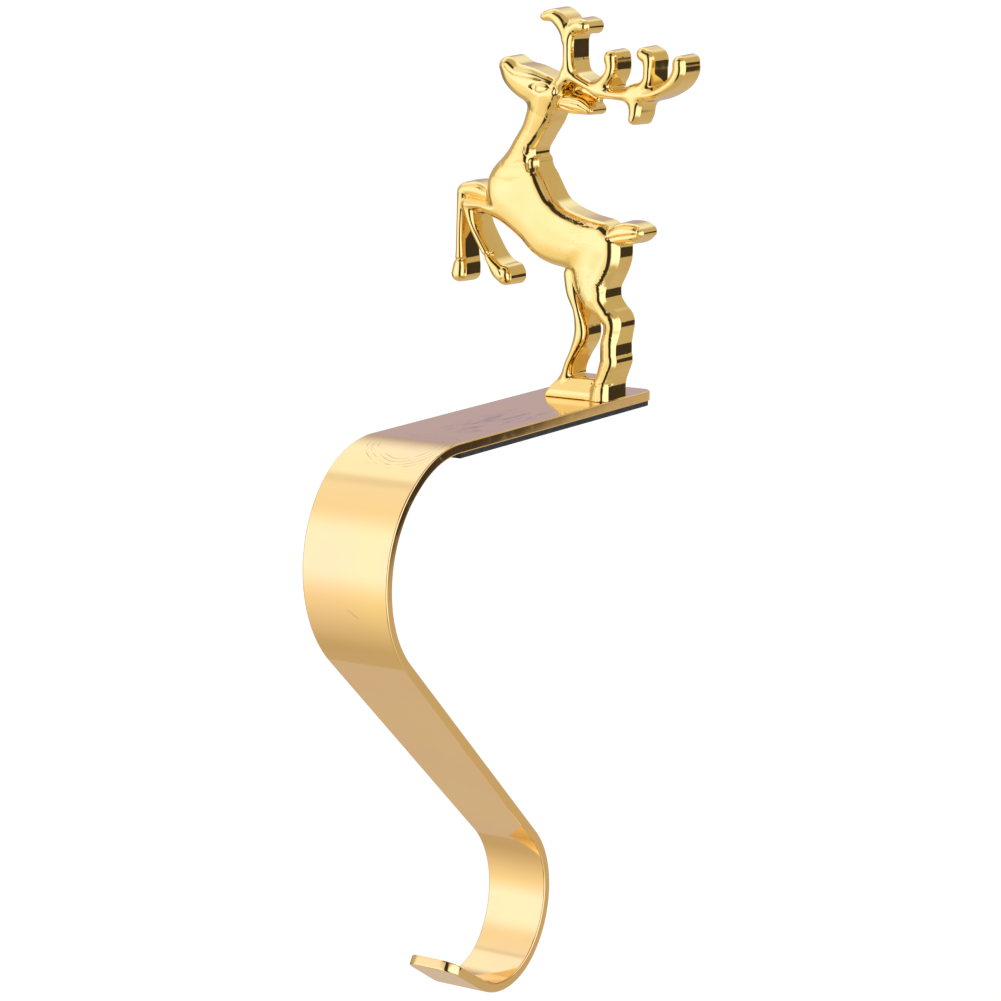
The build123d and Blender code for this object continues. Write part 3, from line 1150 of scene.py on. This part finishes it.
    def skin(self) -> tuple[np.ndarray, np.ndarray]:
        """Surface of the field in quads.

        Returns:
            Points as x, height and distance from the back, and quads of their numbers.
        """
        low = np.min([limb.box[0] for limb in self.limbs], axis=0) - self.margin
        high = np.max([limb.box[1] for limb in self.limbs], axis=0) + self.margin
        axes = (np.arange(low[0], high[0], self.pitch), np.arange(self.lowest, high[1], self.pitch),
                self.levels())
        x, z = np.meshgrid(axes[0], axes[1], indexing="ij")
        form = self.field(x.ravel(), z.ravel(), axes[2]).reshape(*x.shape, -1)
        grid = openvdb.FloatGrid(self.outside)
        grid.copyFromArray(form.astype(np.float32))
        steps, quads = grid.convertToQuads(0.0)
        places = [np.interp(steps[:, i], np.arange(len(axis)), axis) for i, axis in enumerate(axes)]
        return np.stack(places, axis=1), quads

    def slope(self, points: np.ndarray, step: float = 0.05) -> tuple[np.ndarray, np.ndarray]:
        """Field and its slope at points, from four near places.

        Args:
            points: Places as x, height and distance from the back.
            step: How far off the near places are.

        Returns:
            The field and its slope at each point.
        """
        corners = np.array([(1, 1, 1), (1, -1, -1), (-1, 1, -1), (-1, -1, 1)], float) * step
        values = []
        for corner in corners:
            x, z, h = (points + corner).T
            values.append(self.field(x, z, h[:, None])[:, 0])
        slopes = sum(value[:, None] * corner for value, corner in zip(values, corners)) / (4 * step ** 2)
        return sum(values) / 4, slopes

    def settle(self, points: np.ndarray, quads: np.ndarray) -> np.ndarray:
        """Spaces the points evenly over the surface and puts them back on it.

        Args:
            points: Places as x, height and distance from the back.
            quads: Numbers of the points round each face.

        Returns:
            The settled points.
        """
        corners = quads.ravel()
        shares = np.bincount(corners, minlength=len(points))[:, None]
        for _ in range(self.settle_rounds):
            middles = np.repeat(points[quads].mean(axis=1), 4, axis=0)
            sums = [np.bincount(corners, middles[:, i], len(points)) for i in range(3)]
            points = points + (np.stack(sums, axis=1) / shares - points) * self.settle_share
            value, slope = self.slope(points)
            steep = np.maximum((slope ** 2).sum(1, keepdims=True), self.least_slope)
            shift = value[:, None] * slope / steep
            points = points - np.clip(shift, -self.settle_limit, self.settle_limit)
        return points

    def build(self) -> bpy.types.Object:
        """Meshes the casting and puts it in its node's place.

        Returns:
            The finished figure.
        """
        points, quads = self.skin()
        points = self.settle(points, quads)
        _, slope = self.slope(points)
        normals = slope / (np.linalg.norm(slope, axis=1, keepdims=True) + NO_LENGTH)
        x, z, h = points.T
        place = np.stack([x, self.back - h, z + self.plate_top], axis=1) * MM
        facing = np.stack([normals[:, 0], -normals[:, 2], normals[:, 1]], axis=1)
        a, b, c = (place[quads[:, i]] for i in range(3))
        outward = np.einsum("ij,ij->i", np.cross(b - a, c - b), facing[quads[:, 0]])
        if outward.sum() < 0:
            quads = quads[:, ::-1]
        mesh = bpy.data.meshes.new("cast_reindeer")
        mesh.from_pydata(place.tolist(), [], quads.tolist())
        mesh.shade_smooth()
        mesh.normals_split_custom_set_from_vertices(facing.tolist())
        mesh.materials.append(self.finish.build())
        figure = new_object("cast_reindeer", mesh)
        ride(figure, "reindeer_figure")
        return figure


@dataclass
class AntiSlipPad:
    """Foam rubber pad under the plate, with rounded back corners."""

    width: float = 19.4
    length: float = 70.4
    thickness: float = 1.0
    corner: float = 2.7
    corner_points: int = 10
    edge: float = 0.12
    edge_segments: int = 2
    finish: PadRubber = field(default_factory=PadRubber)

    def outline(self) -> list[Vector]:
        """Outline at the pad's underside.

        Returns:
            Its points, from the front right corner round.
        """
        half = self.width / 2
        end = self.length / 2
        points = [Vector((half, -end, 0))]
        for side, start in ((1, 0.0), (-1, QUARTER)):
            centre = Vector((side * (half - self.corner), end - self.corner, 0))
            for number in range(self.corner_points + 1):
                angle = start + QUARTER * number / self.corner_points
                points.append(centre + Vector((math.cos(angle), math.sin(angle), 0)) * self.corner)
        points.append(Vector((-half, -end, 0)))
        return points

    def build(self) -> bpy.types.Object:
        """Makes the pad and puts it in its node's place.

        Returns:
            The finished pad.
        """
        shape = bmesh.new()
        face = shape.faces.new([shape.verts.new(point * MM) for point in self.outline()])
        lifted = bmesh.ops.extrude_face_region(shape, geom=[face])["geom"]
        raised = [item for item in lifted if isinstance(item, bmesh.types.BMVert)]
        bmesh.ops.translate(shape, verts=raised, vec=(0, 0, self.thickness * MM))
        bmesh.ops.recalc_face_normals(shape, faces=shape.faces)
        mesh = mesh_of("foam_pad", shape)
        mesh.shade_smooth()
        mesh.materials.append(self.finish.build())
        pad = new_object("foam_pad", mesh)
        rim = pad.modifiers.new("rim", "BEVEL")
        rim.width = self.edge * MM
        rim.segments = self.edge_segments
        rim.limit_method = "ANGLE"
        flats = pad.modifiers.new("flats", "WEIGHTED_NORMAL")
        flats.weight = FLAT_WEIGHT
        freeze(pad)
        ride(pad, "anti_slip_pad")
        return pad


@dataclass
class FixingScrews:
    """Two countersunk screws, which keep their CAD shape."""

    finish: ScrewZinc = field(default_factory=ScrewZinc)

    def build(self) -> bpy.types.Object:
        """Gives the screws their finish.

        Returns:
            The screws' object.
        """
        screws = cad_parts["fixing_screws"]
        material = self.finish.build()
        for slot in screws.material_slots:
            slot.material = material
        if not screws.material_slots:
            screws.data.materials.append(material)
        LOG.info("%s keeps its shape, %d faces", screws.name, len(screws.data.polygons))
        return screws


@dataclass(frozen=True)
class Panel:
    """Softbox or flag in the surround, in degrees of turn from +Y toward +X and of rise above the horizon.

    Soft is the width of its soft edge to each side of the edge, in turn and in rise.
    """

    name: str
    turn: Pair
    rise: Pair
    colour: Colour
    soft: Pair

    def over(self, graph: Graph, turn: Socket, rise: Socket, seen: Value) -> Socket:
        """Surround with the panel laid over it.

        Args:
            graph: World's graph.
            turn: Direction's turn, from -180 to 180.
            rise: Direction's rise.
            seen: Colour behind the panel.

        Returns:
            The colour with the panel.
        """
        middle = (self.turn[0] + self.turn[1]) / 2
        away = graph.math("WRAP", turn - middle, HALF_TURN, -HALF_TURN)
        half = (self.turn[1] - self.turn[0]) / 2
        covered = graph.band(away, -half, half, self.soft[0])
        covered = covered * graph.band(rise, *self.rise, self.soft[1])
        return graph.mix(covered, seen, self.colour)


@dataclass(frozen=True)
class Lamp:
    """Soft square lamp that points at the object's middle and that metal doesn't mirror."""

    name: str
    offset: Point
    size: float
    power: float

    def hang(self, centre: Vector) -> None:
        """Hangs the lamp at its offset from the object's middle.

        Args:
            centre: The object's middle.
        """
        light = bpy.data.lights.new(self.name, "AREA")
        light.size = self.size
        light.energy = self.power
        made = bpy.data.objects.new(self.name, light)
        place = centre + Vector(self.offset)
        made.location = place
        made.rotation_euler = (centre - place).to_track_quat("-Z", "Y").to_euler()
        made.visible_glossy = False
        bpy.context.scene.collection.objects.link(made)


@dataclass
class Studio:
    """White studio: a pale floor below the hook, a soft surround and three area lamps."""

    floor_height: float = -0.20
    floor_radius: float = 0.45
    floor_colour: Colour = (0.62, 0.61, 0.60)
    white: Colour = (1.06, 1.06, 1.06)
    room: Colour = (0.60, 0.52, 0.39)
    fill: Colour = (0.75, 0.75, 0.75)
    floor_whiteness: float = 0.92
    floor_sides: int = 96
    panels: tuple[Panel, ...] = (
        Panel("table to the back left", (291.0, 380.0), (-120.0, -32.0), (0.66, 0.585, 0.54), (1.0, 8.0)),
        Panel("grey wall behind", (295.0, 350.0), (-20.0, 23.0), (0.52, 0.45, 0.57), (8.0, 12.0)),
        Panel("softbox overhead at the back", (266.0, 365.0), (29.0, 72.0),
              (1.10, 1.22, 1.42), (11.0, 13.0)),
        Panel("fill overhead at the left", (208.0, 265.0), (38.0, 78.0), (1.02, 1.03, 1.12), (14.0, 10.0)),
        Panel("glow around the front softbox", (150.0, 250.0), (-42.0, 46.0),
              (1.04, 0.98, 0.84), (14.0, 25.0)),
        Panel("front softbox", (176.0, 236.0), (-14.0, 36.0), (1.25, 1.32, 1.65), (16.0, 13.0)),
        Panel("side softbox", (50.0, 130.0), (-30.0, 30.0), (1.40, 1.45, 1.80), (8.0, 8.0)),
        Panel("dark side of the room", (248.0, 312.0), (-26.0, -3.0), (0.30, 0.29, 0.24), (8.0, 8.0)),
        Panel("dark ceiling over the camera", (112.0, 204.0), (47.0, 74.0),
              (0.05, 0.045, 0.04), (8.0, 5.0)),
        Panel("dark gap behind the camera", (132.0, 162.0), (-45.0, 60.0), (0.04, 0.035, 0.03), (4.0, 5.0)),
        Panel("black flag at the right", (31.8, 46.0), (-14.2, 1.0), (0.05, 0.04, 0.035), (0.8, 0.8)),
    )

    lamps: tuple[Lamp, ...] = (
        Lamp("key_lamp", (-0.5, -0.7, 0.7), 0.6, 4.0),
        Lamp("fill_lamp", (0.8, -0.4, 0.4), 0.6, 2.0),
        Lamp("top_lamp", (0.0, 0.2, 0.9), 0.8, 3.0),
    )

    @staticmethod
    def sees_backdrop(graph: Graph) -> tuple[Socket, Socket]:
        """Tells rays that see the backdrop itself from those that gather its light.

        Args:
            graph: Graph of the world or of a material.

        Returns:
            1 for a camera ray, and 1 for a camera, glossy or transmitted ray.
        """
        path = graph.node("ShaderNodeLightPath")
        camera = path.other(Ray.CAMERA.value)
        either = graph.math("MAXIMUM", camera, path.other(Ray.GLOSSY.value))
        return camera, graph.math("MAXIMUM", either, path.other(Ray.TRANSMISSION.value))

    def surround(self) -> None:
        """World: white to the camera, and to metal a room with softboxes and dark flags."""
        world = bpy.data.worlds.new("studio_surround")
        world.use_nodes = True
        bpy.context.scene.world = world
        graph = Graph(world.node_tree)
        out = world.node_tree.nodes["Background"]
        toward = graph.node("ShaderNodeTexCoord").other("Generated")
        parts = graph.node("ShaderNodeSeparateXYZ", None, {0: toward})
        rise = graph.math("ARCSINE", parts.other("Z")) * (HALF_TURN / math.pi)
        turn = graph.math("ARCTAN2", parts, parts.other("Y")) * (HALF_TURN / math.pi)
        seen: Value = self.room
        for panel in self.panels:
            seen = panel.over(graph, turn, rise, seen)
        camera, backdrop = self.sees_backdrop(graph)
        seen = graph.mix(camera, seen, self.white)
        graph.feed(out.inputs["Color"], graph.mix(backdrop, self.fill, seen))
        out.inputs["Strength"].default_value = 1.0

    def floor(self) -> None:
        """Round floor that keeps the object's shadow and that metal doesn't mirror."""
        shape = bmesh.new()
        bmesh.ops.create_circle(shape, cap_ends=True, segments=self.floor_sides, radius=self.floor_radius)
        bmesh.ops.translate(shape, verts=shape.verts, vec=(0, 0, self.floor_height))
        mesh = mesh_of("studio_floor", shape)
        made = bpy.data.materials.new("studio_floor")
        made.use_nodes = True
        graph = Graph(made.node_tree)
        made.node_tree.nodes.remove(made.node_tree.nodes["Principled BSDF"])
        _, backdrop = self.sees_backdrop(graph)
        matt = graph.node("ShaderNodeBsdfDiffuse", None, {"Color": self.floor_colour})
        glow = graph.node("ShaderNodeEmission", None, {"Color": self.white})
        shown = graph.node("ShaderNodeMixShader", None,
                           {0: backdrop * self.floor_whiteness, 1: matt, 2: glow})
        graph.feed(made.node_tree.nodes["Material Output"].inputs["Surface"], shown)
        mesh.materials.append(made)
        floor = new_object("studio_floor", mesh)
        floor.visible_glossy = False

    def build(self) -> None:
        """Sets surround, floor and lamps."""
        low, high = CAD_BOX
        centre = (low + high) / 2
        self.surround()
        self.floor()
        for lamp in self.lamps:
            lamp.hang(centre)
        LOG.info("studio floor at %.3f m", self.floor_height)


@dataclass
class PhotoCamera:
    """Camera at the photograph's viewing angle."""

    azimuth: float = 32.774
    elevation: float = 11.367
    distance: float = 0.700
    aim: Point = (-0.0157, 0.0179, -0.0196)
    lens: float = 124.46
    sensor: float = 36.0
    clip: Pair = (0.01, 50.0)

    def build(self) -> bpy.types.Object:
        """Makes the camera and hands it to the scene.

        Returns:
            The camera.
        """
        turn = math.radians(self.azimuth)
        rise = math.radians(self.elevation)
        level = math.cos(rise)
        back = Vector((math.sin(turn) * level, -math.cos(turn) * level, math.sin(rise)))
        right = Vector((math.cos(turn), math.sin(turn), 0.0))
        upward = back.cross(right)
        data = bpy.data.cameras.new("photo_camera")
        data.lens = self.lens
        data.sensor_width = self.sensor
        data.sensor_fit = "HORIZONTAL"
        data.clip_start, data.clip_end = self.clip
        camera = bpy.data.objects.new("photo_camera", data)
        turned = Matrix((right, upward, back)).transposed().to_4x4()
        camera.matrix_world = Matrix.Translation(Vector(self.aim) + back * self.distance) @ turned
        bpy.context.scene.collection.objects.link(camera)
        bpy.context.scene.camera = camera
        return camera


def main() -> None:
    """Builds the pieces in order and sets the scene."""
    logging.basicConfig(level=logging.INFO, format="%(name)s: %(message)s")
    bpy.context.scene.view_settings.view_transform = "Standard"
    PhotoCamera().build()
    HookStrip().build()
    ReindeerFigure().build()
    AntiSlipPad().build()
    FixingScrews().build()
    Studio().build()


if __name__ == "__main__":
    main()
